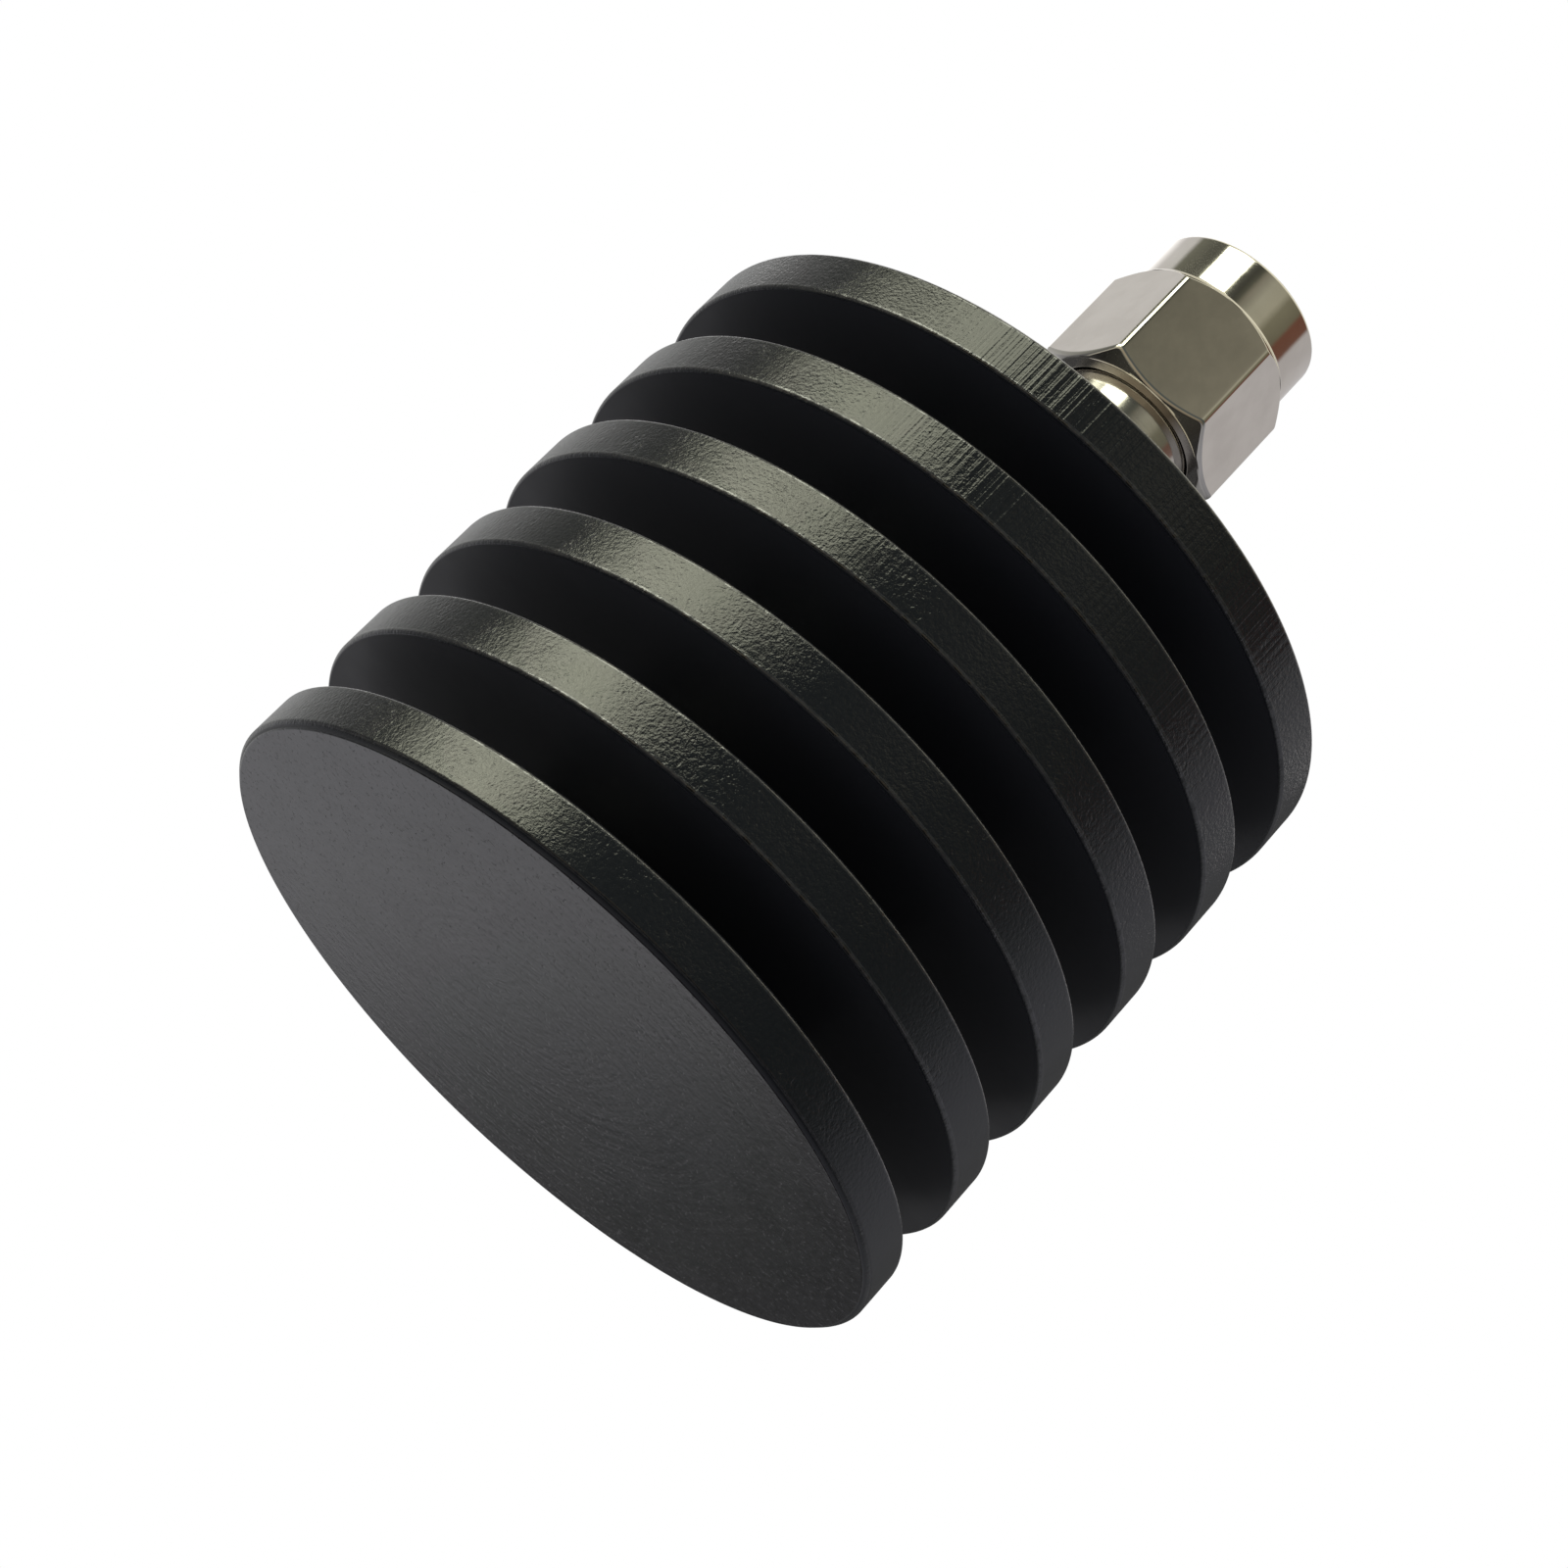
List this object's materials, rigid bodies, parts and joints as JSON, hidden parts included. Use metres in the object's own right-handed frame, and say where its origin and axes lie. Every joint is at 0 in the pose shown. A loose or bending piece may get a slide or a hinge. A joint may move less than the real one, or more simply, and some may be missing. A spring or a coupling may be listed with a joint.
{
  "type": "coaxial terminator",
  "caption": "Coaxial terminator: a finned round heat sink over a resistive load, with a plug connector whose hexagonal coupling nut spins and slides a little.",
  "frame": {"origin": "centre of the heat sink's closed end face, on which the part stands", "axes": "+Z along the common axis, from the closed face to the mouth of the coupling nut; -Y square to one of the nut's six flats"},
  "size_m": [0.031, 0.031, 0.0441],
  "materials": {
    "black_anodised": "satin black anodised aluminium with turning marks",
    "nickel_body": "bright nickel plate",
    "nickel_nut": "bright nickel plate",
    "spring_bronze": "plain spring bronze",
    "silicone": "matt red silicone",
    "insulator": "waxy white",
    "gold_plate": "bright gold plate",
    "silvered_brass": "silver plate",
    "resistive_film": "dark film on a ceramic rod",
    "bare_brass": "turned brass",
    "spring_steel": "plain spring steel"
  },
  "bodies": {
    "heat_sink_and_plug": {"heat_sink": "black_anodised", "connector_body": "nickel_body", "gasket": "silicone", "dielectric": "insulator", "centre_contact": "gold_plate", "support_bead": "insulator", "front_cap": "silvered_brass", "resistor_rod": "resistive_film", "rear_cap": "silvered_brass", "taper_sleeve": "bare_brass", "ground_plug": "bare_brass", "disc_spring": "spring_steel"},
    "ring_carrier": {"retaining_ring": "spring_bronze"},
    "nut": {"coupling_nut": "nickel_nut"}
  },
  "joints": [
    {"name": "nut_play", "type": "slide", "parent": "heat_sink_and_plug", "child": "ring_carrier", "axis": [0, 0, 1], "range_m": [0, 0.0003]},
    {"name": "nut_spin", "type": "hinge", "parent": "ring_carrier", "child": "nut", "pos_m": [0, 0, 0.0385], "axis": [0, 0, 1], "continuous": true}
  ]
}
